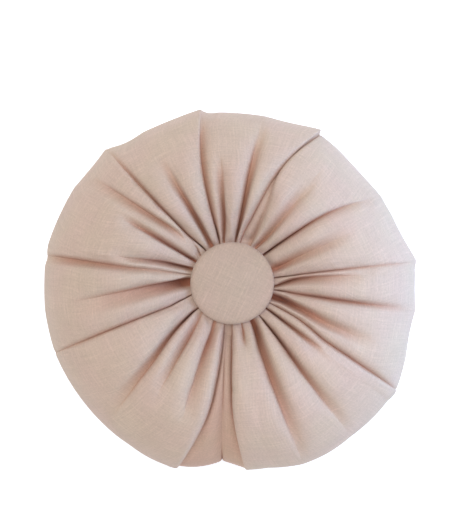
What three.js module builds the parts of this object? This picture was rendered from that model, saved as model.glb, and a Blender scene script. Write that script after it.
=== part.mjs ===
// A round gathered cushion with one large covered button, lying on its back.
// A wide strip of linen is joined end to end by a seam, gathered along both of its long edges,
// drawn in to the middle of each face and filled, and the button hides the gathers in front.
// Millimetres, +Z up, the button facing up. The origin is under the middle of the cushion, on
// the surface that it lies on.
import * as THREE from 'three';

// Driving dimensions of the cushion. A share is a part of the way from the button's edge to
// the rim.
const buttonRadius = 45;
const usualRimRadius = 200; // the table below gives the rim's distance at each fold
const seatHeight = 75; // where the cover is pressed flat under the button
const seatRadius = 30;
const crownHeight = 113; // the top of the gathered ring, before its lobes puff up
const crownShare = 0.48;
const rimHeight = 50; // the widest part of the cushion
const restOuterShare = 0.68; // the flat ring that it lies on
const restInnerShare = 0.28;
const backHeight = 24; // the drawn-in middle of the back
const backRadius = 7;

// Driving dimensions of the button
const buttonEdge = 9; // height of its edge
const buttonCrown = 13; // height of its domed middle
const buttonCorner = 5; // how far its edge is rounded
const buttonFoot = 0.25; // how much of its dome's height its rounded edge takes up
const touchGap = 0.3; // between it and the cover that it presses on

// Driving dimensions of the lobes between the folds, and of the folds on the back
const puffShare = 0.2; // how far a lobe puffs up, as a share of its width
const mostPuff = 5;
const puffStart = 0.15; // the share where the lobes are fully puffed up
const heldShare = 0.4; // a fold this much of its full depth still holds its lobes fully down
const smallestSlope = 0.35; // the narrowest slope of a fold
const backFoldDepth = 7;
const backFoldDepthVaries = 2;
const depthBeat = 2.4; // from one fold of the back to the next one, in radians of its varying
const startBeat = 1.7;

// The section's stages: 0 at the button, 1 at the rim, 2 where it meets the surface, and 3 at
// the middle of the back
const liftStage = 2.4; // where it leaves the surface again
const sinkEndStage = 1.15; // where sunken cloth is level with the rest
const backFoldStage = 2.1; // where the folds of the back start
const backFoldStageVaries = 0.3;

// How finely the cover is divided: columns for a lobe, by its width at the rim, and rows along
// each stretch of the section
const lobeColumnWidth = 9;
const fewestLobeColumns = 3;
const mostLobeColumns = 6;
const sectionRows = { rise: 7, shoulder: 8, underside: 5, rest: 3, dimple: 5 };
const buttonSides = 56;
const buttonCurveSteps = 6;

// Colour and finish of the dusty pink linen
const linen = { color: 0xcbb3a7, roughness: 0.92, metalness: 0 };
const linenOfButton = { color: 0xc4ab9e, roughness: 0.92, metalness: 0 };

// The folds of the front, anticlockwise as seen from above, with +X at 0 degrees.
// edge, inner, middle, rim: the fold's angle at the button's edge, at radii innerRadius and
//   middleRadius, and at the rim.
// reach: the share where it dies out, or the stage, where it goes on past the rim.
// depth: how deep it is at the button. before, after: the width of its two slopes.
// radius: the rim's distance from the button's axis at the fold.
// swell: how much further out, or in, the rim lies half-way to the next fold.
// sink: how much lower the cloth between this fold and the next one lies.
const innerRadius = 75;
const middleRadius = 120;
const foldColumns =
  ['edge', 'inner', 'middle', 'rim', 'reach', 'depth', 'before', 'after', 'radius', 'swell', 'sink'];
const foldRows = [
  [-3.0, 2.0, 2.3, 2.0, 0.64, 9, 5, 6, 197.0, 0, 0],
  [9.3, 8.9, 7.9, 6.7, 1.12, 8, 5, 4, 199.4, -3.5, 0],
  [21.3, 21.6, 23.2, 24.0, 0.62, 8, 7, 6, 186.2, 0, 0],
  [42.5, 39.9, 36.6, 29.8, 0.92, 11, 5, 3, 186.1, -3, 0],
  [57.0, 54.0, 53.0, 52.0, 0.66, 7, 7, 6, 184.8, 0, 0],
  [65.2, 65.4, 66.7, 59.4, 0.45, 6, 2, 3, 187.5, 0, 5],
  [77.0, 73.0, 68.0, 60.0, 1.15, 9, 3, 6, 192.7, -3.1, 0],
  [85.3, 83.0, 81.3, 79.5, 0.89, 9, 4, 4, 184.8, 0, 0],
  [98.8, 98.0, 96.8, 96.0, 0.67, 8, 4, 6, 186.7, -1.7, 0],
  [107.2, 106.2, 104.6, 101.0, 1.08, 8, 6, 3, 192.2, -2, 0],
  [118.6, 118.4, 119.5, 120.5, 0.76, 9, 5, 5, 191.1, -4, 0],
  [127.6, 132.2, 132.9, 133.3, 1.12, 9, 4, 4, 199.6, 0, 0],
  [133.8, 134.9, 135.5, 136.0, 0.16, 5, 2, 2, 198.4, 0, 0],
  [138.5, 139.0, 141.5, 147.0, 0.91, 6, 5, 7, 198.4, -0.5, 0],
  [149.0, 148.9, 148.7, 148.5, 0.53, 11, 3, 3, 200.5, 0, 0],
  [159.5, 163.4, 166.5, 168.0, 0.49, 10, 2, 7, 204.0, 0, 0],
  [166.5, 168.8, 170.4, 171.3, 0.98, 6, 4, 4, 202.9, -0.7, 0],
  [175.5, 180.5, 185.0, 189.0, 0.72, 10, 4, 12, 205.7, -1.4, 0],
  [195.8, 199.8, 200.2, 201.4, 1.04, 9, 3, 4, 205.4, -1.3, 0],
  [215.0, 218.8, 224.0, 228.5, 0.85, 9, 7, 3, 207.0, 0.3, 0],
  [226.0, 231.0, 234.0, 236.0, 0.51, 7, 8, 3, 206.1, 0.4, 0],
  [245.0, 248.2, 250.3, 251.0, 0.64, 10, 4, 9, 207.5, 0.5, 0],
  [260.4, 261.3, 259.9, 253.4, 1.2, 10, 3, 3, 206.5, 0, 6],
  [262.4, 263.9, 265.4, 267.0, 2.0, 8, 1.2, 1.2, 190.3, 0, 6],
  [269.8, 269.3, 269.5, 274.0, 1.2, 10, 3, 3, 199.6, 0, 0],
  [282.9, 281.9, 281.0, 281.0, 0.2, 5, 5, 2, 200.5, 0, 0],
  [298.7, 295.6, 293.6, 293.2, 0.94, 11, 3, 7, 207.8, 1.7, 0],
  [311.0, 310.3, 309.7, 309.0, 0.91, 10, 5, 4, 207.2, 0.3, 0],
  [325.0, 324.0, 323.7, 323.0, 0.43, 10, 3, 3, 208.1, 1.7, 0],
  [333.2, 332.0, 328.6, 327.5, 1.12, 8, 4, 4, 210.8, 0.2, 0],
  [342.0, 340.2, 337.6, 337.0, 0.67, 12, 7, 7, 202.1, -2.7, 0],
  [351.8, 351.6, 351.9, 352.2, 0.96, 9, 3, 3, 197.8, -1.2, 0],
];
const folds = foldRows.map((row) =>
  Object.fromEntries(foldColumns.map((column, i) => [column, row[i]])));
const foldCount = folds.length;

const degrees = Math.PI / 180;
const quarterTurn = Math.PI / 2;
const fullTurn = 360;
const mix = (a, b, t) => a + (b - a) * t;
const clamp01 = (x) => Math.min(1, Math.max(0, x));

// A smooth line through stations [at, value], flat where the values turn back.
function smoothThrough(stations, at) {
  const last = stations.length - 1;
  if (at <= stations[0][0]) return stations[0][1];
  if (at >= stations[last][0]) return stations[last][1];
  const slope = (i) => (stations[i + 1][1] - stations[i][1]) / (stations[i + 1][0] - stations[i][0]);
  const tangent = (i) => {
    if (i === 0 || i === last) return slope(Math.min(i, last - 1));
    const [a, b] = [slope(i - 1), slope(i)];
    return a * b <= 0 ? 0 : (2 * a * b) / (a + b);
  };
  const i = stations.findIndex(([x]) => x > at) - 1;
  const span = stations[i + 1][0] - stations[i][0];
  const t = (at - stations[i][0]) / span;
  const [t2, t3] = [t * t, t * t * t];
  return (2 * t3 - 3 * t2 + 1) * stations[i][1] + (t3 - 2 * t2 + t) * span * tangent(i)
    + (3 * t2 - 2 * t3) * stations[i + 1][1] + (t3 - t2) * span * tangent(i + 1);
}

// The angle of fold number i on the front, at a radius. Numbers past the table go on round.
function frontAngle(i, radius) {
  const fold = folds[i % foldCount];
  const turn = i >= foldCount ? fullTurn : 0;
  return turn + smoothThrough([[buttonRadius, fold.edge], [innerRadius, fold.inner],
    [middleRadius, fold.middle], [fold.radius, fold.rim]], radius);
}

// Behind the rim each fold keeps its angle down to the surface. From there to the middle of the
// back the folds spread out evenly.
function backAngle(i, stage) {
  const fold = folds[i % foldCount];
  const turn = i >= foldCount ? fullTurn : 0;
  const even = ((i % foldCount) / foldCount) * fullTurn;
  return turn + mix(even, fold.rim, Math.sqrt(clamp01(3 - stage)));
}

// The section of the cushion through a lobe, in rows: share, height, the direction [outwards,
// upwards] that faces out of the cloth, and stage.
function sectionPoints() {
  const points = [];
  const rows = sectionRows;
  const climb = crownHeight - seatHeight;
  const crownWay = crownShare * (usualRimRadius - buttonRadius);
  const backShare = (backRadius - buttonRadius) / (usualRimRadius - buttonRadius);
  for (let i = 0; i < rows.rise; i++) {
    const share = (i / rows.rise) * crownShare;
    const turn = (i / rows.rise) * quarterTurn;
    const steep = climb * quarterTurn * Math.cos(turn);
    const size = Math.hypot(steep, crownWay);
    points.push({ share, height: seatHeight + climb * Math.sin(turn),
      facing: [-steep / size, crownWay / size], stage: share });
  }
  for (let i = 0; i < rows.shoulder; i++) {
    const turn = (i / rows.shoulder) * quarterTurn;
    const share = mix(crownShare, 1, Math.sin(turn));
    points.push({ share, height: mix(rimHeight, crownHeight, Math.cos(turn)),
      facing: [Math.sin(turn), Math.cos(turn)], stage: share });
  }
  for (let i = 0; i < rows.underside; i++) {
    const turn = (i / rows.underside) * quarterTurn;
    points.push({ share: mix(restOuterShare, 1, Math.cos(turn)),
      height: rimHeight * (1 - Math.sin(turn)),
      facing: [Math.cos(turn), -Math.sin(turn)], stage: 1 + i / rows.underside });
  }
  for (let i = 0; i < rows.rest; i++) {
    const t = i / rows.rest;
    points.push({ share: mix(restOuterShare, restInnerShare, t), height: 0,
      facing: [0, -1], stage: mix(2, liftStage, t) });
  }
  for (let i = 0; i <= rows.dimple; i++) {
    const t = i / rows.dimple;
    points.push({ share: mix(restInnerShare, backShare, t),
      height: (backHeight * (1 - Math.cos(Math.PI * t))) / 2,
      facing: [0, -1], stage: mix(liftStage, 3, t) });
  }
  return points;
}

// How deep a fold is at a stage of the section: it dies out at its reach, and the gathers of
// the back start further on, each at its own place.
function foldDepth(i, stage) {
  const number = i % foldCount;
  const fold = folds[number];
  const front = fold.depth * (1 - clamp01(stage / fold.reach) ** 2);
  const starts = backFoldStage + backFoldStageVaries * Math.sin(number * startBeat);
  const deepest = backFoldDepth + backFoldDepthVaries * Math.sin(number * depthBeat);
  const back = deepest * clamp01((stage - starts) / (3 - starts));
  return Math.max(front, back);
}

// How far the cloth between two folds lies below the section, half-way and all along it.
const lobeSink = (i, stage) => folds[i % foldCount].sink * (1 - clamp01(stage / sinkEndStage) ** 3);

// One slope of a fold, from 1 in its crease to 0 at its outer edge, steepest in the crease.
function slopeShape(distance, width) {
  const left = 1 - clamp01(distance / width);
  return 1 - Math.sqrt(1 - left * left);
}

// The angles of the two folds that lobe i lies between.
function lobeEdges(i, radius, stage) {
  const lobe = i % foldCount;
  return [lobe, lobe + 1].map((fold) =>
    (stage <= 1 ? frontAngle(fold, radius) : backAngle(fold, stage)));
}

// How far lobe i puffs up half-way between its folds.
function fullPuff(i, radius, stage) {
  const [from, to] = lobeEdges(i, radius, stage);
  const width = (to - from) * degrees * radius;
  return Math.min(mostPuff, puffShare * width) * clamp01(stage / puffStart) * (1 - stage ** 3);
}

// How far a point of lobe i puffs up. A fold holds its two lobes down. Past the end of a fold
// they become one.
function lobePuff(i, t, radius, stage) {
  if (stage >= 1) return 0;
  const nearSide = t < 0.5;
  const side = (1 + Math.cos(2 * Math.PI * Math.min(t, 1 - t))) / 2;
  const fold = nearSide ? i : i + 1;
  const heldDown = clamp01(foldDepth(fold, stage) / (heldShare * folds[fold % foldCount].depth));
  const own = fullPuff(i, radius, stage);
  const other = fullPuff(nearSide ? i + foldCount - 1 : i + 1, radius, stage);
  return mix(own, (own + other) / 2, side) * (1 - side * heldDown);
}

// How far a point of lobe i, at share t of its width, is drawn down by its two folds.
function lobeDrop(i, t, stage, width) {
  const slopeWidth = (wanted) => Math.max(smallestSlope, Math.min(wanted, width / 2));
  const near = slopeShape(t * width, slopeWidth(folds[i % foldCount].after));
  const far = slopeShape((1 - t) * width, slopeWidth(folds[(i + 1) % foldCount].before));
  const sink = lobeSink(i, stage);
  const nearDepth = Math.max(foldDepth(i, stage) - sink, 0);
  const farDepth = Math.max(foldDepth(i + 1, stage) - sink, 0);
  return sink + nearDepth * near + farDepth * far;
}

// A crease is as deep as its fold or as the sunken cloth on either side of it.
const creaseDrop = (i, stage) => Math.max(foldDepth(i, stage), lobeSink(i, stage),
  lobeSink(i + foldCount - 1, stage));

// The outline's distance from the button's axis in lobe i. Its corners, at the deep folds, get
// softer from the rim down to the surface.
function outlineRadius(i, t, stage) {
  const corners = 1 - clamp01(stage - 1);
  const radiusOf = (n) => folds[(n + foldCount) % foldCount].radius;
  const around = (n) => (radiusOf(n - 2) + radiusOf(n - 1) + radiusOf(n) + radiusOf(n + 1)
    + radiusOf(n + 2)) / 5;
  const from = mix(around(i), radiusOf(i), corners);
  const to = mix(around(i + 1), radiusOf(i + 1), corners);
  return mix(from, to, t) + folds[i].swell * corners * Math.sin(Math.PI * t);
}

// The columns of the cover's mesh: each lobe has its own, closer together near its folds.
const columns = folds.flatMap((fold, i) => {
  const span = frontAngle(i + 1, fold.radius) - fold.rim;
  const wanted = Math.round((span * degrees * fold.radius) / lobeColumnWidth);
  const count = Math.min(mostLobeColumns, Math.max(fewestLobeColumns, wanted));
  return Array.from({ length: count }, (_, k) => ({ i, t: (1 - Math.cos((Math.PI * k) / count)) / 2 }));
});

// A point of the cover, from its column and its point of the section.
function coverPoint({ i, t }, { share, height, facing, stage }) {
  const radius = buttonRadius + share * (outlineRadius(i, t, stage) - buttonRadius);
  const [from, to] = lobeEdges(i, radius, stage);
  const width = (to - from) * degrees * radius;
  const drop = (t === 0 ? creaseDrop(i, stage) : lobeDrop(i, t, stage, width))
    - lobePuff(i, t, radius, stage);
  const out = radius - facing[0] * drop;
  const angle = mix(from, to, t) * degrees;
  return [out * Math.cos(angle), out * Math.sin(angle), height - facing[1] * drop];
}

// The cover and its filling: one closed solid, from the seat under the button, out over the
// lobes and the rim, and in along the back.
function makeCover() {
  const seat = columns.map(({ i, t }) => {
    const angle = mix(frontAngle(i, seatRadius), frontAngle(i + 1, seatRadius), t) * degrees;
    return [seatRadius * Math.cos(angle), seatRadius * Math.sin(angle), seatHeight];
  });
  const rows = [seat,
    ...sectionPoints().map((point) => columns.map((column) => coverPoint(column, point)))];
  const across = columns.length;
  const positions = [[0, 0, seatHeight], ...rows.flat(), [0, 0, backHeight]];
  const backMiddle = positions.length - 1;
  const at = (row, column) => 1 + row * across + (column % across);
  const faces = [];
  for (let c = 0; c < across; c++) {
    faces.push(0, at(0, c), at(0, c + 1));
    for (let r = 0; r < rows.length - 1; r++) {
      faces.push(at(r, c), at(r + 1, c), at(r + 1, c + 1));
      faces.push(at(r, c), at(r + 1, c + 1), at(r, c + 1));
    }
    faces.push(at(rows.length - 1, c + 1), at(rows.length - 1, c), backMiddle);
  }
  const geometry = new THREE.BufferGeometry();
  geometry.setAttribute('position', new THREE.Float32BufferAttribute(positions.flat(), 3));
  geometry.setIndex(faces);
  geometry.computeVertexNormals();
  const mesh = new THREE.Mesh(geometry, new THREE.MeshStandardMaterial(linen));
  mesh.name = 'cover';
  return mesh;
}

// The button: linen drawn over a stiff domed disc, flat underneath where it presses on the
// gathers. Its profile runs from the middle of the underside to the middle of the dome.
function makeButton() {
  const flat = buttonRadius - buttonCorner;
  const domeFoot = mix(buttonEdge, buttonCrown, buttonFoot);
  const profile = new THREE.Path();
  profile.moveTo(0, 0);
  profile.lineTo(flat, 0);
  profile.quadraticCurveTo(buttonRadius, 0, buttonRadius, buttonCorner);
  profile.quadraticCurveTo(buttonRadius, buttonEdge, flat, domeFoot);
  profile.quadraticCurveTo(flat / 2, buttonCrown, 0, buttonCrown);
  const points = profile.getPoints(buttonCurveSteps);
  const geometry = new THREE.LatheGeometry(points, buttonSides);
  geometry.rotateX(quarterTurn);
  geometry.translate(0, 0, seatHeight + touchGap);
  const mesh = new THREE.Mesh(geometry, new THREE.MeshStandardMaterial(linenOfButton));
  mesh.name = 'button';
  return mesh;
}

// The button's axis is not quite in the middle of the uneven outline: the cushion is shifted
// so that the origin is under the middle of the outline's box.
const cushion = new THREE.Group();
const cover = makeCover();
cushion.add(cover, makeButton());
cover.geometry.computeBoundingBox();
const middle = cover.geometry.boundingBox.getCenter(new THREE.Vector3());
cushion.children.forEach((mesh) => mesh.geometry.translate(-middle.x, -middle.y, 0));

export default cushion;
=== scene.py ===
import math
from collections import namedtuple

import bmesh
import bpy
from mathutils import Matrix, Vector, noise


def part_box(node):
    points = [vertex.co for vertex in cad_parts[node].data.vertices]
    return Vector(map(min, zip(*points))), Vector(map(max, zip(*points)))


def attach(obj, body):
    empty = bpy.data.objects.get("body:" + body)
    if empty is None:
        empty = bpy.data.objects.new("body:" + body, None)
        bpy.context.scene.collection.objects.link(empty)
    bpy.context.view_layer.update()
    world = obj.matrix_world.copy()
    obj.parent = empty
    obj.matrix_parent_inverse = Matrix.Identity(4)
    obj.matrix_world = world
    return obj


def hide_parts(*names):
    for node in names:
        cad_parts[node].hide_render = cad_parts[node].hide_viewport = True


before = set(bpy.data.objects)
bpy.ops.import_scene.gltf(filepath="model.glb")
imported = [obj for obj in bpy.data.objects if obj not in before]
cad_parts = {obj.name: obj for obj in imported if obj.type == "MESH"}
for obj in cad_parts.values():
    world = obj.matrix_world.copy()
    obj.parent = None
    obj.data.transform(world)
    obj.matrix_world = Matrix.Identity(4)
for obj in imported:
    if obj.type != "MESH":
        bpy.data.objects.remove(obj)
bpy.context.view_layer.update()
bpy.ops.object.select_all(action="DESELECT")


# The camera
# It looks straight down on the face of the cushion through a long lens, with the photograph's
# right towards +X and its top towards +Y.
photo_pixels = (463, 526)
button_pixel = (232.25, 283.9)
cushion_width, cushion_pixels = 0.4, 370
pixel_size = cushion_width / cushion_pixels
camera_distance = 4.0
lens_sensor = 36.0
rim_height = 0.05
button_low, button_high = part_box("button")
button_middle = (button_low + button_high) / 2
camera_data = bpy.data.cameras.new("camera")
camera_data.sensor_width = lens_sensor
camera_data.lens = lens_sensor * camera_distance / (photo_pixels[1] * pixel_size)
camera_data.clip_start = 0.1
camera_data.clip_end = 50.0
camera = bpy.data.objects.new("camera", camera_data)
camera.location = (
    button_middle.x + (photo_pixels[0] / 2 - button_pixel[0]) * pixel_size,
    button_middle.y + (button_pixel[1] - photo_pixels[1] / 2) * pixel_size,
    rim_height + camera_distance,
)
bpy.context.scene.collection.objects.link(camera)
bpy.context.scene.camera = camera


# The cover
# One wide strip of dusty pink linen, its ends joined by a seam, gathered along both long edges
# and drawn in over a fibre filling: to the button in front and to a closed pucker behind. Its
# folds are hand-made and uneven, so each has its own row here, in degrees and millimetres.
MM = 0.001
# edge, neck, inner, middle, rim: the fold's angle at the button, at radii 56, 75 and 120, and at
#   the rim
# mouth: its depth at the button, as a share of depth, its full depth
# deepest, reach: where it is deepest and where it ends, as shares of the way from the button to
#   the rim. end: how bluntly it ends
# low, high: the widths of its two sides at the button, towards lower and higher angles, and
#   low_out, high_out at its outer end
# low_form, high_form: 0 is a puffed lobe that meets the next one in a line, 1 a soft slope, and
#   more a brink
# radius, swell: the rim at the fold, and how much further out it is half-way to the next one
# sink: how far the cloth from this fold to the next lies lower, where it does
# starts: the share of the way where it starts, if not at the button
Fold = namedtuple("Fold", "edge neck inner middle rim mouth deepest reach end depth low high"
                          " low_out high_out low_form high_form radius swell sink starts",
                  defaults=(0, 0))
folds = [Fold(*row) for row in (
    (-4, 1.9, 5.1, 4.2, 3.5, 0.77, 0.1, 0.62, 1.3, 11.5, 4, 1.2, 18, 8, 1, 0.8, 197, -1.5),
    (8.6, 8.2, 8.1, 7.6, 6.9, 1.19, 0.12, 1.04, 2, 6.5, 0.8, 0.8, 4, 3, 0.4, 0.3, 200.4, -3.5),
    (20.5, 20.8, 22.3, 23.2, 24, 1, 0.1, 0.62, 1.3, 8, 5, 4, 11, 8, 1.8, 1.7, 186.5, -0.5),
    (44, 42.2, 40.4, 37.3, 30.2, 1.1, 0.12, 0.92, 1.6, 11, 2.2, 0.8, 7, 1.4, 1, 0.3, 185.6, -3),
    (57.5, 54.3, 52.8, 52.4, 52, 0.85, 0.12, 0.68, 1.3, 7, 1.5, 5, 8, 14, 1.7, 1.5, 184.2, 0),
    (65, 65.1, 65.5, 67.6, 59.4, 1.02, 0.1, 0.47, 2, 9, 0.8, 8, 1, 6, 0.3, 1, 186.5, 0, 7),
    (78.6, 76.9, 73.2, 68.3, 59.9, 0.85, 0.2, 1.01, 2, 8, 0.8, 1.6, 1.2, 3.5, 0.2, 0.6, 192, -3.5),
    (86, 84.2, 82.5, 81.1, 79, 0.85, 0.2, 0.92, 2, 10, 1.1, 1.1, 9, 4, 2.4, 1.3, 183.6, -0.7),
    (101, 98.2, 96, 95.3, 95, 0.7, 0.15, 0.64, 1.6, 10, 0.8, 2.8, 2.5, 12, 0.7, 1.3, 185, -2.5),
    (107.2, 106.8, 106.4, 104.8, 100, 1.19, 0.15, 1.02, 4, 9, 0.9, 0.8, 12, 1.2, 1.2, 0.2, 191.3, -2),
    (118.6, 118.6, 118.6, 119.4, 120.5, 0.7, 0.2, 0.74, 1.3, 11, 3.4, 3.2, 5, 5.5, 1.6, 1.4, 189.4, -4),
    (127.8, 130.3, 132.4, 133.1, 133, 1.1, 0.15, 1.03, 2.5, 9, 0.9, 0.8, 6, 1.2, 1, 0.2, 199.6, 0),
    (138.5, 133.9, 133.9, 134.5, 135, 0.85, 0, 0.1, 2, 4, 0.8, 1.5, 1, 2, 0.5, 1, 198.4, -1),
    (141.5, 137.5, 137, 139.9, 143.2, 0, 0.34, 0.95, 1.7, 9, 1.5, 6, 3, 12, 0.7, 1.5, 197, -0.5, 0, 0.12),
    (148.7, 148.6, 148.6, 148.6, 148.5, 0.85, 0.2, 0.6, 2, 10, 1.7, 1.4, 5, 3.5, 1.6, 1.6, 199, -1),
    (157.8, 159.6, 161.5, 166.3, 168, 0.85, 0.12, 0.54, 1.3, 12, 0.9, 6, 1.5, 12, 0.5, 1.4, 203.5, -0.4),
    (167, 168, 169.3, 170.9, 171.2, 0.3, 0.75, 1.02, 3, 9, 0.7, 0.7, 3.5, 12, 0.4, 1.2, 204, -1),
    (172, 175.2, 179.4, 184.2, 188, 1.05, 0.1, 0.8, 1.3, 14, 1.5, 11, 4, 22, 0.8, 2.2, 203.6, -0.3),
    (195, 197.6, 199.8, 200.4, 201.3, 1.1, 0.15, 1.02, 4, 7.5, 0.8, 0.8, 3.5, 3, 0.5, 0.3, 204.8, -0.6),
    (214.8, 216.8, 219.2, 224.6, 228.4, 1.02, 0.15, 0.9, 1.8, 11, 0.9, 0.7, 16, 1.2, 1.3, 0.3, 204.8, 0.2),
    (224, 228.2, 232, 235, 237, 0.4, 0.18, 0.58, 1.3, 9, 8, 0.7, 22, 1.5, 1.35, 0.4, 205.5, 0.6),
    (243, 245.8, 246.8, 248.8, 250, 0.6, 0.14, 0.66, 1.3, 10, 0.8, 5, 2, 17, 0.5, 1.5, 208.3, 0.6),
    (259.6, 260.7, 261.3, 260.5, 253.4, 0.85, 0.3, 1.04, 3, 15, 0.8, 1.2, 1.4, 4, 0.1, 0.8, 208, 2.5, 12),
    (261, 261.9, 263.6, 265.3, 266.7, 0.8, 0.3, 1.3, 2, 14, 0.7, 0.7, 1, 1, 0.5, 0.5, 192.5, -1, 12),
    (269.7, 269.4, 269.3, 269.6, 274, 0.9, 0.3, 1.04, 3, 14, 0.8, 0.5, 1.2, 0.6, 0.6, 0.1, 201.5, 0),
    (283.6, 282.8, 281, 281, 281, 0.85, 0.03, 0.15, 2, 5, 1.2, 0.8, 5, 2, 1, 1.6, 202.5, 0),
    (296.8, 295.2, 292.9, 291.8, 291.4, 1, 0.12, 0.96, 1.5, 13, 1.4, 9, 1.5, 13, 0.6, 1.6, 208.4, 1),
    (310.5, 310.2, 309.6, 308.3, 307.9, 0.75, 0.15, 0.93, 1.5, 13, 0.9, 0.9, 1.5, 13, 0.4, 1, 208, 0.3),
    (324.5, 324.3, 324, 323.7, 323.2, 1.02, 0.1, 0.46, 2, 10, 1, 1, 3.5, 3.5, 1.8, 1.5, 209.5, 1.2),
    (333.2, 332.9, 332.3, 328.5, 327.2, 0.8, 0.4, 1.03, 4, 8, 0.7, 0.7, 1.6, 4, 0.2, 0.5, 211.4, -0.4),
    (343.4, 342.4, 340.2, 337.3, 337, 1.2, 0.1, 0.72, 1.3, 13, 5.5, 5.5, 10, 9, 1.5, 1.4, 203, -3.2),
    (352, 351.8, 351.4, 351.5, 351.9, 0.6, 0.35, 0.96, 2, 10, 0.9, 0.9, 6, 6, 0.8, 0.8, 198.8, -1.6),
)]
fold_count = len(folds)
seam_fold = 23
neck_radius, inner_radius, middle_radius, usual_rim_radius = 56, 75, 120, 200
cover_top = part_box("cover")[1].z
button_radius = (button_high.x - button_low.x) / 2 / MM


def mix(a, b, t):
    return a + (b - a) * t


def clamp01(x):
    return min(1.0, max(0.0, x))


def smooth_through(stations, at):
    """A smooth line through stations (place, value), flat where the values turn back."""
    last = len(stations) - 1
    if at <= stations[0][0]:
        return stations[0][1]
    if at >= stations[last][0]:
        return stations[last][1]
    slopes = [(b[1] - a[1]) / (b[0] - a[0]) for a, b in zip(stations, stations[1:])]

    def tangent(i):
        if i in (0, last):
            return slopes[min(i, last - 1)]
        a, b = slopes[i - 1], slopes[i]
        return 0.0 if a * b <= 0 else 2 * a * b / (a + b)

    i = max(k for k in range(last) if stations[k][0] <= at)
    span = stations[i + 1][0] - stations[i][0]
    t = (at - stations[i][0]) / span
    return ((2 * t**3 - 3 * t**2 + 1) * stations[i][1] + (t**3 - 2 * t**2 + t) * span * tangent(i)
            + (3 * t**2 - 2 * t**3) * stations[i + 1][1] + (t**3 - t**2) * span * tangent(i + 1))


def front_angle(i, radius):
    """Where fold i runs on the face, in degrees."""
    fold = folds[i % fold_count]
    turn = 360.0 if i >= fold_count else 0.0
    return turn + smooth_through([
        (button_radius, fold.edge), (neck_radius, fold.neck), (inner_radius, fold.inner),
        (middle_radius, fold.middle), (fold.radius, fold.rim)], radius)


def back_angle(i, stage):
    """Where fold i runs on the back. The gathers are evenly spaced at the pucker."""
    fold = folds[i % fold_count]
    turn = 360.0 if i >= fold_count else 0.0
    even = (i % fold_count) / fold_count * 360.0
    return turn + mix(even, fold.rim, math.sqrt(clamp01(3 - stage)))


def lobe_edges(i, radius, stage):
    """The angles of the two folds that a lobe lies between."""
    i = i % fold_count
    if stage <= 1:
        return front_angle(i, radius), front_angle(i + 1, radius)
    return back_angle(i, stage), back_angle(i + 1, stage)


# The cushion's section. share: of the way from the button's edge to the rim. outwards, upwards:
# the way out of the cloth. stage: 0 at the button, 1 at the rim, 2 where the cloth meets the
# surface, and 3 at the back's middle
Row = namedtuple("Row", "share height outwards upwards stage")
section_rows = {"seat": 2, "rise": 18, "shoulder": 22, "underside": 8, "rest": 4, "dimple": 9}
touch_gap = 0.3
most_puff = 7.5
seat_height = button_low.z / MM - touch_gap
seat_radius = 30.0
crown_height = cover_top / MM - most_puff
crown_share = 0.48
rest_outer_share, rest_inner_share = 0.68, 0.28
back_height, back_radius = 24.0, 7.0
lift_stage = 2.4


def quarter_turns(part):
    """The shares i / count of a part's rows, each with its angle in a quarter turn."""
    count = section_rows[part]
    return [(i / count, i / count * math.pi / 2) for i in range(count)]


def section_points():
    """The rows of the section, from the button over the rim to the pucker."""
    rows = []
    rim_level = rim_height / MM
    climb = crown_height - seat_height
    crown_way = crown_share * (usual_rim_radius - button_radius)
    back_share = (back_radius - button_radius) / (usual_rim_radius - button_radius)
    for done, turn in quarter_turns("rise"):
        share = done * crown_share
        steep = climb * math.pi / 2 * math.cos(turn)
        size = math.hypot(steep, crown_way)
        height = seat_height + climb * math.sin(turn)
        rows.append(Row(share, height, -steep / size, crown_way / size, share))
    for done, turn in quarter_turns("shoulder"):
        share = mix(crown_share, 1, math.sin(turn))
        height = mix(rim_level, crown_height, math.cos(turn))
        rows.append(Row(share, height, math.sin(turn), math.cos(turn), share))
    for done, turn in quarter_turns("underside"):
        share = mix(rest_outer_share, 1, math.cos(turn))
        height = rim_level * (1 - math.sin(turn))
        rows.append(Row(share, height, math.cos(turn), -math.sin(turn), 1 + done))
    for done, turn in quarter_turns("rest"):
        share = mix(rest_outer_share, rest_inner_share, done)
        rows.append(Row(share, 0.0, 0.0, -1.0, mix(2, lift_stage, done)))
    count = section_rows["dimple"]
    for i in range(count + 1):
        done = i / count
        share = mix(rest_inner_share, back_share, done)
        height = back_height * (1 - math.cos(math.pi * done)) / 2
        rows.append(Row(share, height, 0.0, -1.0, mix(lift_stage, 3, done)))
    return rows


# The folds of the back start at uneven stages and are unevenly deep
back_fold_stage, stage_spread, stage_turn = 2.1, 0.3, 1.7
back_fold_depth, depth_spread, depth_turn = 7, 2, 2.4


def fold_depth(i, stage):
    """How deep fold i is at a stage of the section."""
    number = i % fold_count
    fold = folds[number]
    if stage < fold.starts:
        front = 0.0
    elif stage < fold.deepest:
        t = (stage - fold.starts) / (fold.deepest - fold.starts)
        front = fold.depth * mix(fold.mouth, 1, t * t * (3 - 2 * t))
    else:
        left = clamp01((stage - fold.deepest) / (fold.reach - fold.deepest))
        front = fold.depth * (1 - left**fold.end) * (fold.mouth if fold.deepest == 0 else 1)
    starts = back_fold_stage + stage_spread * math.sin(number * stage_turn)
    deepest = back_fold_depth + depth_spread * math.sin(number * depth_turn)
    back = deepest * clamp01((stage - starts) / (3 - starts))
    return max(front, back)


def side_shape(distance, width, form):
    """One side of a fold, from 1 in its crease to 0 at its outer edge."""
    u = clamp01(distance / width)
    pillow = 1 - math.sqrt(1 - (1 - u) ** 2)
    trough = 0.5 * (1 + math.cos(math.pi * u ** max(1.0, form)))
    return mix(pillow, trough, min(1.0, form))


# The sunken strip keeps its depth nearly up to the rim and then ends quickly
sink_end_stage, sink_hold = 1.03, 10


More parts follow.
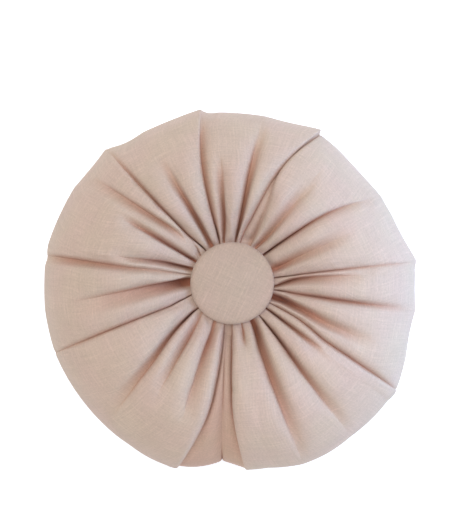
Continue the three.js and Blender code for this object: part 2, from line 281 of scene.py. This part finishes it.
def lobe_sink(i, stage):
    """How far lobe i lies lower as a whole."""
    return folds[i % fold_count].sink * (1 - clamp01(stage / sink_end_stage) ** sink_hold)


# Lobes puff up between folds, the wider the more. Where a fold is much shallower than its full
# depth, it no longer holds them down
puff_share, puff_start = 0.26, 0.06
hold_strength = 2.5


def held_down(i, stage):
    """How far fold i holds its lobes down: 1 in the fold, and 0 past its end."""
    return clamp01(hold_strength * fold_depth(i, stage) / folds[i % fold_count].depth)


def full_puff(i, radius, stage):
    """How far the middle of lobe i puffs up."""
    start, end = lobe_edges(i, radius, stage)
    width = math.radians(end - start) * radius
    return min(most_puff, puff_share * width) * clamp01(stage / puff_start) * (1 - stage**3)


def lobe_puff(i, t, radius, stage):
    """How far a point of lobe i puffs up. Past the end of a fold, two lobes become one."""
    if stage >= 1:
        return 0.0
    near_side = t < 0.5
    side = 0.5 * (1 + math.cos(2 * math.pi * min(t, 1 - t)))
    fold = i if near_side else i + 1
    own = full_puff(i, radius, stage)
    other = full_puff(i + fold_count - 1 if near_side else i + 1, radius, stage)
    joined = mix(own, (own + other) / 2, side)
    return mix(joined, own * math.sin(math.pi * t), held_down(fold, stage))


# A fold's sides widen from the button to its end, each over a limited share of its lobe. Shade
# is painted on deep cloth, darker where its fold is narrow, close to the button, or in the sunken strip
width_growth, widest_side = 0.75, 0.6
tightness, pit_shade, pit_end_stage, sunk_shade, sunk_rim_shade = 10.0, 0.3, 0.16, 0.05, 0.28


def lobe_drop(i, t, stage, width):
    """How far a point of the lobe after fold i, at share t of its width, lies under the section,
    and how much shade is painted on it there."""
    near_fold, far_fold = folds[i % fold_count], folds[(i + 1) % fold_count]
    near_growth = clamp01(stage / near_fold.reach) ** width_growth
    far_growth = clamp01(stage / far_fold.reach) ** width_growth
    near_width = mix(near_fold.high, near_fold.high_out, near_growth)
    far_width = mix(far_fold.low, far_fold.low_out, far_growth)
    sink = lobe_sink(i, stage)
    near = max(fold_depth(i, stage) - sink, 0) * side_shape(
        t * width, min(near_width, width * widest_side), near_fold.high_form)
    far = max(fold_depth(i + 1, stage) - sink, 0) * side_shape(
        (1 - t) * width, min(far_width, width * widest_side), far_fold.low_form)
    tight = near * tightness / (tightness + near_width) + far * tightness / (tightness + far_width)
    pit = pit_shade * (near + far) * (1 - clamp01(stage / pit_end_stage))
    sunk = near_fold.sink * mix(sunk_shade, sunk_rim_shade, min(stage, 1)) * clamp01(2 - stage)
    return sink + near + far, tight + pit + sunk


def crease_drop(i, stage):
    """How far the crease of fold i lies under the section."""
    return max(fold_depth(i, stage), lobe_sink(i, stage), lobe_sink(i + fold_count - 1, stage))


ripple_high, ripple_low, ripple_end_stage = 0.45, 0.2, 0.4
ripple_width, ripple_rate, lobe_step = 4.5, 5.0, 7.3


def ripple(i, t, width, stage):
    """Small uneven gathers of the cloth, higher near the button."""
    height = mix(ripple_high, ripple_low, clamp01(stage / ripple_end_stage))
    place = Vector((i * lobe_step + t * width / ripple_width, stage * ripple_rate, 0.0))
    return height * math.sin(math.pi * t) * noise.noise(place)


evened_folds = 2


def outline_radius(i, t, stage):
    """The rim's distance from the button's axis. Its corners get softer down to the surface."""
    corners = 1 - clamp01(stage - 1)

    def corner_radius(n):
        near = [folds[(n + k) % fold_count].radius for k in range(-evened_folds, evened_folds + 1)]
        return mix(sum(near) / len(near), folds[n % fold_count].radius, corners)

    swell = folds[i % fold_count].swell * corners * math.sin(math.pi * t)
    return mix(corner_radius(i), corner_radius(i + 1), t) + swell


def cover_point(column, row):
    """A point of the cover, how far it lies under the section, and the shade painted on it in its fold."""
    i, t = column
    radius = button_radius + row.share * (outline_radius(i, t, row.stage) - button_radius)
    start, end = lobe_edges(i, radius, row.stage)
    width = math.radians(end - start) * radius
    drop, tone = lobe_drop(i, t, row.stage, width)
    if t == 0:
        drop = crease_drop(i, row.stage)
    puff = lobe_puff(i, t, radius, row.stage) + ripple(i, t, width, row.stage)
    out = radius - row.outwards * (drop - puff)
    if row.stage <= 1:
        start, end = lobe_edges(i, out, row.stage)
    angle = math.radians(mix(start, end, t))
    height = row.height - row.upwards * (drop - puff)
    return Vector((out * math.cos(angle), out * math.sin(angle), height)), drop, tone


# The columns of the mesh lie closer together towards the creases
lobe_column_width, fewest_lobe_columns, crease_columns = 3.9, 7, 0.6
columns = []
for i, fold in enumerate(folds):
    span = front_angle(i + 1, fold.radius) - fold.rim
    count = max(fewest_lobe_columns, round(math.radians(span) * fold.radius / lobe_column_width))
    for k in range(count):
        even = (1 - math.cos(math.pi * k / count)) / 2
        columns.append((i, mix(even, even * even * (3 - 2 * even), crease_columns)))


def lobe_widths(row):
    """How wide each lobe is on its way around the cushion."""
    widths = []
    for i in range(fold_count):
        radius = button_radius + row.share * (outline_radius(i, 0.5, row.stage) - button_radius)
        start, end = lobe_edges(i, radius, row.stage)
        widths.append(math.radians(end - start) * radius)
    return widths


rim_row = Row(share=1.0, height=0.0, outwards=1.0, upwards=0.0, stage=1.0)
strip_length = sum(lobe_widths(rim_row))
least_depth = 1e-6


def lobe_starts(row):
    """Where each lobe starts along the strip of linen, from the seam, and how wide it is. What
    is longer than the way around lies hidden in the folds, in proportion to their depth."""
    widths = lobe_widths(row)
    hidden = max(0.0, strip_length - sum(widths))
    depths = [fold_depth(i, row.stage) for i in range(fold_count)]
    all_depth = max(sum(depths), least_depth)
    starts = {}
    along = 0.0
    for step in range(fold_count):
        i = (seam_fold + step) % fold_count
        starts[i] = (along, widths[i])
        along += widths[i] + hidden * depths[(i + 1) % fold_count] / all_depth
    return starts


# The rings of the mesh, from under the button to the pucker. way: how far along the cloth a ring
# lies from the gathered edge. warmth: painted warm shade between the gathers round the button
Ring = namedtuple("Ring", "points drops tones warmth starts way stage")
hollow_shade = 0.3
across = len(columns)
section = section_points()
rings = []
edge_tones = [cover_point(column, section[0])[2] for column in columns]
for k in range(section_rows["seat"]):
    radius = mix(seat_radius, button_radius, k / section_rows["seat"])
    points = []
    for i, t in columns:
        angle = math.radians(mix(front_angle(i, radius), front_angle(i + 1, radius), t))
        points.append(Vector((radius * math.cos(angle), radius * math.sin(angle), seat_height)))
    rings.append(Ring(points, [0.0] * across, edge_tones, hollow_shade, lobe_starts(section[0]),
                      radius - button_radius, None))
way = 0.0
for row, before in zip(section, section[:1] + section):
    way += math.hypot((row.share - before.share) * (usual_rim_radius - button_radius),
                      row.height - before.height)
    points, drops, tones = zip(*[cover_point(column, row) for column in columns])
    warmth = hollow_shade * (1 - clamp01(row.stage / crown_share)) ** 2
    rings.append(Ring(points, drops, tones, warmth, lobe_starts(row), way, row.stage))


def strip_place(ring, i, t):
    """Where a point of the cover lies on the strip of linen before it was gathered, in metres."""
    start, width = ring.starts[i]
    return (start + t * width) * MM, ring.way * MM


faces = []
face_places = []
for r, (near_ring, far_ring) in enumerate(zip(rings, rings[1:])):
    near, far = r * across, (r + 1) * across
    for c, (i, t) in enumerate(columns):
        d = (c + 1) % across
        t_next = columns[d][1] or 1.0
        faces.append((near + c, far + c, far + d, near + d))
        face_places += [strip_place(near_ring, i, t), strip_place(far_ring, i, t),
                        strip_place(far_ring, i, t_next), strip_place(near_ring, i, t_next)]
middle = Vector((button_middle.x, button_middle.y, 0))
cover_mesh = bpy.data.meshes.new("gathered_cover")
cover_mesh.from_pydata([point * MM + middle for ring in rings for point in ring.points], [], faces)
strip_map = cover_mesh.uv_layers.new(name="strip")
for loop, place in zip(strip_map.data, face_places):
    loop.uv = place
# painted_fold_shade holds painted shade: how much darker and warmer the cloth is painted in its folds and
# round the button
fold_shade_values = cover_mesh.attributes.new("painted_fold_shade", "FLOAT", "POINT")
for n, point_tone in enumerate(fold_shade_values.data):
    point_tone.value = rings[n // across].tones[n % across] + rings[n // across].warmth
cover_mesh.update()
cover = bpy.data.objects.new("gathered_cover", cover_mesh)
bpy.context.scene.collection.objects.link(cover)
bpy.context.view_layer.objects.active = cover
cover.select_set(True)

# The filling presses the cloth, which is a little loose, out between the folds. It is held where
# it is sewn, gathered, folded or lain on, and no point moves further than the cap.
pressing_frames, most_pressed, firm_depth = 20, 3.0 * MM, 5.0
cloth_steps, cloth_mass, filling_pressure, shrinkage = 5, 0.3, 4.0, -0.015
held = cover.vertex_groups.new(name="held")
for n in range(len(cover_mesh.vertices)):
    stage = rings[n // across].stage
    i, t = columns[n % across]
    if stage is None or stage >= 2:
        held.add([n], 1.0, "REPLACE")
    elif t == 0:
        held.add([n], held_down(i, stage), "REPLACE")
before = [vertex.co.copy() for vertex in cover_mesh.vertices]
cloth = cover.modifiers.new("filling", "CLOTH")
cloth.settings.quality = cloth_steps
cloth.settings.mass = cloth_mass
cloth.settings.vertex_group_mass = held.name
cloth.settings.use_pressure = True
cloth.settings.uniform_pressure_force = filling_pressure
cloth.settings.shrink_min = shrinkage
cloth.settings.effector_weights.gravity = 0.0
cloth.point_cache.frame_end = pressing_frames
for frame_number in range(1, pressing_frames + 1):
    bpy.context.scene.frame_set(frame_number)
bpy.ops.object.modifier_apply(modifier=cloth.name)
bpy.context.scene.frame_set(1)
for n, (vertex, place) in enumerate(zip(cover_mesh.vertices, before)):
    move = vertex.co - place
    free = 1 - clamp01(rings[n // across].drops[n % across] / firm_depth)
    vertex.co = place + move * (free * most_pressed / (most_pressed + move.length))
cover.vertex_groups.clear()

smoother = cover.modifiers.new("finer", "SUBSURF")
smoother.levels = 1
smoother.render_levels = 1
bpy.ops.object.modifier_apply(modifier=smoother.name)

# Both gathered edges are closed with a fan of small faces to a middle point
shape = bmesh.new()
shape.from_mesh(cover_mesh)
strip = shape.loops.layers.uv["strip"]
open_edges = [edge for edge in shape.edges if edge.is_boundary]
for upper, height in ((True, seat_height), (False, back_height)):
    gathered = [edge for edge in open_edges if (edge.verts[0].co.z > seat_height * MM / 2) == upper]
    middle_point = shape.verts.new((button_middle.x, button_middle.y, height * MM))
    for edge in gathered:
        at = edge.link_loops[0][strip].uv.copy()
        small_face = shape.faces.new((edge.verts[0], edge.verts[1], middle_point))
        for loop in small_face.loops:
            loop[strip].uv = at
bmesh.ops.recalc_face_normals(shape, faces=shape.faces)
shape.to_mesh(cover_mesh)
shape.free()
cover_mesh.polygons.foreach_set("use_smooth", [True] * len(cover_mesh.polygons))

# The linen: a plain weave of uneven threads, about 11 to the centimetre, with thicker stretches
# in both directions and a few dark specks, and painted shade, warmer and darker, in the folds.
# Lengths are in metres
thread_pitch, thread_wander = 0.0009, 1.2
slub_length, slub_width, slub_relief = 0.03, 0.0016, 0.9
slub_from, slub_full, slub_light = 0.56, 0.74, 0.04
weave_bump, weave_height = 0.6, 0.00035
patch_size, grain_size, cast_size = (0.03, 0.03), (0.0019, 0.0019), (0.05, 0.04)
plain_tone, slub_tone = 0.82, 0.16
# How much each varies the tone, and what is taken off so that it doesn't get lighter
Layer = namedtuple("Layer", "strength taken_off")
patch_layer, grain_layer, thread_layer = Layer(0.10, 0.05), Layer(0.28, 0.14), Layer(0.08, 0.05)
speck_spacing, speck_size, speck_dark = 0.045, 0.016, 0.3
cast_turn, cast_from, cast_full = 0.01, 0.35, 0.65
# Painted shade in the folds: tints, with the values of painted_fold_shade from which they start and are
# full
Tint = namedtuple("Tint", "least most colour")
fold_shade_tints = (Tint(0.0, 5.0, (0.91, 0.73, 0.64, 1)), Tint(4.0, 9.0, (0.85, 0.62, 0.54, 1)),
              Tint(6.0, 12.0, (0.62, 0.54, 0.51, 1)))


def feed(tree, socket, value):
    """Sets a socket to a plain value, or links another node's socket to it."""
    if isinstance(value, bpy.types.NodeSocket):
        tree.links.new(value, socket)
    else:
        socket.default_value = value


def maths(tree, operation, *values):
    """The output of one Math node."""
    node = tree.nodes.new("ShaderNodeMath")
    node.operation = operation
    for socket, value in zip(node.inputs, values):
        feed(tree, socket, value)
    return node.outputs[0]


def ramped(tree, value, least, most, highest=1.0):
    """0 where the value is at its least, rising to highest where it is at its most."""
    node = tree.nodes.new("ShaderNodeMapRange")
    for name, given in (("Value", value), ("From Min", least), ("From Max", most),
                        ("To Max", highest)):
        feed(tree, node.inputs[name], given)
    return node.outputs["Result"]


def blended(tree, blend, factor, first, second):
    """The colour of one Mix node."""
    node = tree.nodes.new("ShaderNodeMix")
    node.data_type = "RGBA"
    node.blend_type = blend
    for name, given in (("Factor", factor), ("A", first), ("B", second)):
        feed(tree, node.inputs[name], given)
    return node.outputs["Result"]


def streaks(tree, place, size, seed):
    """Soft streaks as long and wide as size says, in metres."""
    stretch = tree.nodes.new("ShaderNodeMapping")
    stretch.inputs["Location"].default_value = (seed, seed * 0.7, 0)
    stretch.inputs["Scale"].default_value = (1 / size[0], 1 / size[1], 1)
    tree.links.new(place, stretch.inputs["Vector"])
    cloud = tree.nodes.new("ShaderNodeTexNoise")
    cloud.inputs["Scale"].default_value = 1.0
    cloud.inputs["Detail"].default_value = 2.0
    tree.links.new(stretch.outputs["Vector"], cloud.inputs["Vector"])
    return cloud.outputs["Fac"]


def woven_threads(tree, place, slubs):
    """How high the threads stand. They pass over and under each other and wander a little."""
    split = tree.nodes.new("ShaderNodeSeparateXYZ")
    tree.links.new(place, split.inputs[0])
    waves = []
    for distance, slub in zip(split.outputs, reversed(slubs)):
        turn = maths(tree, "MULTIPLY", distance, math.pi / thread_pitch)
        turn = maths(tree, "ADD", turn, maths(tree, "MULTIPLY", slub, thread_wander))
        waves.append(maths(tree, "SINE", turn))
    over = maths(tree, "MULTIPLY_ADD", maths(tree, "MULTIPLY", *waves), 0.5, 0.5)
    under = maths(tree, "SUBTRACT", 1.0, over)
    warp = maths(tree, "MULTIPLY", maths(tree, "ABSOLUTE", waves[0]), over)
    weft = maths(tree, "MULTIPLY", maths(tree, "ABSOLUTE", waves[1]), under)
    return maths(tree, "MAXIMUM", warp, weft)


def linen_tone(tree, place, threads, slubs, slub_shares):
    """How light the linen is, with its slubs, patches, grain, threads and specks."""
    thick = [ramped(tree, slub, slub_from, slub_full, slub_light * share)
             for slub, share in zip(slubs, slub_shares)]
    tone = maths(tree, "MULTIPLY_ADD", maths(tree, "ADD", *slubs), slub_tone, plain_tone)
    tone = maths(tree, "ADD", tone, maths(tree, "ADD", *thick))
    patches = streaks(tree, place, patch_size, seed=5.2)
    grain = streaks(tree, place, grain_size, seed=1.7)
    for cloud, layer in ((patches, patch_layer), (grain, grain_layer), (threads, thread_layer)):
        lower = maths(tree, "SUBTRACT", tone, layer.taken_off)
        tone = maths(tree, "MULTIPLY_ADD", cloud, layer.strength, lower)
    specks = tree.nodes.new("ShaderNodeTexVoronoi")
    specks.inputs["Scale"].default_value = 1 / speck_spacing
    tree.links.new(place, specks.inputs["Vector"])
    speck = maths(tree, "LESS_THAN", specks.outputs["Distance"], speck_size)
    return maths(tree, "MULTIPLY", tone, maths(tree, "MULTIPLY_ADD", speck, -speck_dark, 1.0))


def add_linen(material, place, base, painted_fold_shade=None, slub_shares=(1.0, 1.0), fuzz=0.15):
    """Builds the linen's nodes. place follows the threads, in metres, base is the colour,
    painted_fold_shade how much shade is painted on the cloth in its folds, slub_shares how much the slubs
    show in each direction, and fuzz the pale fluff on the threads."""
    tree = material.node_tree
    surface = tree.nodes["Principled BSDF"]
    slubs = [streaks(tree, place, (slub_length, slub_width), seed=3.1),
             streaks(tree, place, (slub_width, slub_length), seed=8.6)]
    threads = woven_threads(tree, place, slubs)
    bump = tree.nodes.new("ShaderNodeBump")
    bump.inputs["Strength"].default_value = weave_bump
    bump.inputs["Distance"].default_value = weave_height
    relief = maths(tree, "MULTIPLY_ADD", maths(tree, "ADD", *slubs), slub_relief, threads)
    tree.links.new(relief, bump.inputs["Height"])
    tree.links.new(bump.outputs["Normal"], surface.inputs["Normal"])

    red, green, blue = base
    greener, pinker = [(red * (1 - turn), green * (1 + turn), blue * (1 - turn), 1)
                       for turn in (cast_turn, -cast_turn)]
    cast = ramped(tree, streaks(tree, place, cast_size, seed=11.3), cast_from, cast_full)
    shade = tree.nodes.new("ShaderNodeCombineColor")
    tone = linen_tone(tree, place, threads, slubs, slub_shares)
    for socket in shade.inputs[:3]:
        tree.links.new(tone, socket)
    colour = blended(tree, "MULTIPLY", 1.0, blended(tree, "MIX", cast, greener, pinker),
                     shade.outputs[0])
    # Painted shade: the colour is tinted warmer and darker the more shade painted_fold_shade gives
    if painted_fold_shade is not None:
        for tint in fold_shade_tints:
            depth = ramped(tree, painted_fold_shade, tint.least, tint.most)
            colour = blended(tree, "MULTIPLY", depth, colour, tint.colour)
    tree.links.new(colour, surface.inputs["Base Color"])
    surface.inputs["Roughness"].default_value = 0.92
    surface.inputs["Specular IOR Level"].default_value = 0.2
    surface.inputs["Sheen Weight"].default_value = fuzz
    surface.inputs["Sheen Roughness"].default_value = 0.5


dusty_pink = (0.672, 0.53, 0.48)
linen = bpy.data.materials.new("dusty_pink_linen")
linen.use_nodes = True
strip_node = linen.node_tree.nodes.new("ShaderNodeUVMap")
strip_node.uv_map = "strip"
fold_node = linen.node_tree.nodes.new("ShaderNodeAttribute")
fold_node.attribute_name = "painted_fold_shade"
add_linen(linen, strip_node.outputs["UV"], dusty_pink, painted_fold_shade=fold_node.outputs["Fac"])
cover_mesh.materials.append(linen)
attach(cover, "root")
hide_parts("cover")


# The button
# A stiff domed disc with the same linen drawn over it, its threads turned so that they run down
# steeply. It is tied down in the middle, presses the gathers flat, and is pulled a little out of
# round.
button_steps, dome_rings, button_roundness = 96, 9, 0.98
top_rise = 0.00004
disc_radius = (button_high.x - button_low.x) / 2
button_crown = button_high.z - button_low.z
# inside: how far inside the widest ring each ring of the linen lies. height: over its underside
ButtonRing = namedtuple("ButtonRing", "inside height")
button_rings = [ButtonRing(0.0042, 0.0), ButtonRing(0.0018, 0.0004), ButtonRing(0.0005, 0.0016),
                ButtonRing(0.0, 0.0036), ButtonRing(0.0001, 0.0062), ButtonRing(0.0006, 0.0077),
                ButtonRing(0.0018, 0.0089), ButtonRing(0.0042, 0.0098)]
edge_top = button_rings[-1]
for n in range(1, dome_rings):
    left = 1 - n / dome_rings
    button_rings.append(ButtonRing(
        mix(disc_radius, edge_top.inside, left), mix(button_crown, edge_top.height, left * left)))
bpy.ops.mesh.primitive_circle_add(
    vertices=button_steps, radius=disc_radius - button_rings[0].inside, fill_type="NGON",
    location=(button_middle.x, button_middle.y, button_low.z))
button = bpy.context.object
button.name = "covered_button"
button.data.name = "covered_button"
bpy.ops.object.mode_set(mode="EDIT")
bpy.ops.mesh.select_all(action="SELECT")
bpy.ops.mesh.region_to_loop()
for now, then in zip(button_rings, button_rings[1:]):
    grown = (disc_radius - then.inside) / (disc_radius - now.inside)
    bpy.ops.mesh.extrude_edges_indiv()
    bpy.ops.transform.translate(value=(0, 0, then.height - now.height))
    bpy.ops.transform.resize(
        value=(grown, grown, 1), center_override=(button_middle.x, button_middle.y, 0))
bpy.ops.mesh.edge_face_add()
bpy.ops.mesh.poke(offset=top_rise)
bpy.ops.mesh.select_all(action="SELECT")
bpy.ops.transform.resize(value=(1, button_roundness, 1), center_override=(0, button_high.y, 0))
bpy.ops.mesh.normals_make_consistent(inside=False)
bpy.ops.object.mode_set(mode="OBJECT")
bpy.ops.object.transform_apply(location=True, rotation=True, scale=True)
button.data.polygons.foreach_set("use_smooth", [True] * len(button.data.polygons))

weave_turn = math.radians(-64)
button_pink = (0.585, 0.455, 0.398)
button_linen = bpy.data.materials.new("linen_of_the_button")
button_linen.use_nodes = True
button_tree = button_linen.node_tree
own_place = button_tree.nodes.new("ShaderNodeTexCoord")
turned = button_tree.nodes.new("ShaderNodeMapping")
turned.inputs["Rotation"].default_value = (0, 0, weave_turn)
button_tree.links.new(own_place.outputs["Object"], turned.inputs["Vector"])
add_linen(button_linen, turned.outputs["Vector"], button_pink, slub_shares=(2.2, 0.6), fuzz=0.6)
button.data.materials.append(button_linen)
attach(button, "root")
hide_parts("button")


# The floor and the studio light
# A white floor, soft light from far above, and two cool windows on the right: a small one close
# over the rim, and a wide one low beside the cushion.
floor_size = 12
bpy.ops.mesh.primitive_plane_add(size=floor_size, location=(0, 0, 0))
floor = bpy.context.object
floor.name = "studio_floor"
paint = bpy.data.materials.new("white_floor")
paint.use_nodes = True
white = paint.node_tree.nodes["Principled BSDF"]
white.inputs["Base Color"].default_value = (0.85, 0.85, 0.85, 1)
white.inputs["Roughness"].default_value = 0.9
white.inputs["Emission Color"].default_value = (0.783, 0.87, 1.0, 1)
white.inputs["Emission Strength"].default_value = 0.69
floor.data.materials.append(paint)

world = bpy.data.worlds.new("studio")
bpy.context.scene.world = world
world.use_nodes = True
world.node_tree.nodes["Background"].inputs["Color"].default_value = (1.0, 0.94, 0.79, 1)
world.node_tree.nodes["Background"].inputs["Strength"].default_value = 0.5


def add_softbox(name, place, width, height, power, colour):
    """A flat lamp that faces the middle of the cushion."""
    lamp = bpy.data.lights.new(name, "AREA")
    lamp.shape = "RECTANGLE"
    lamp.size = width
    lamp.size_y = height
    lamp.energy = power
    lamp.color = colour
    holder = bpy.data.objects.new(name, lamp)
    holder.location = place
    holder.rotation_euler = (-Vector(place)).to_track_quat("-Z", "Y").to_euler()
    bpy.context.scene.collection.objects.link(holder)


add_softbox("overhead", place=(-0.5, 0.9, 4.6), width=3.0, height=3.0, power=95,
            colour=(1.0, 0.98, 0.91))
add_softbox("window", place=(0.27, 0.0, 0.42), width=0.45, height=0.25, power=0.5,
            colour=(0.58, 0.68, 1.0))
add_softbox("low_window", place=(0.62, 0.05, 0.24), width=1.0, height=0.3, power=2.25,
            colour=(0.32, 0.67, 1.0))
bpy.context.scene.view_settings.view_transform = "Standard"
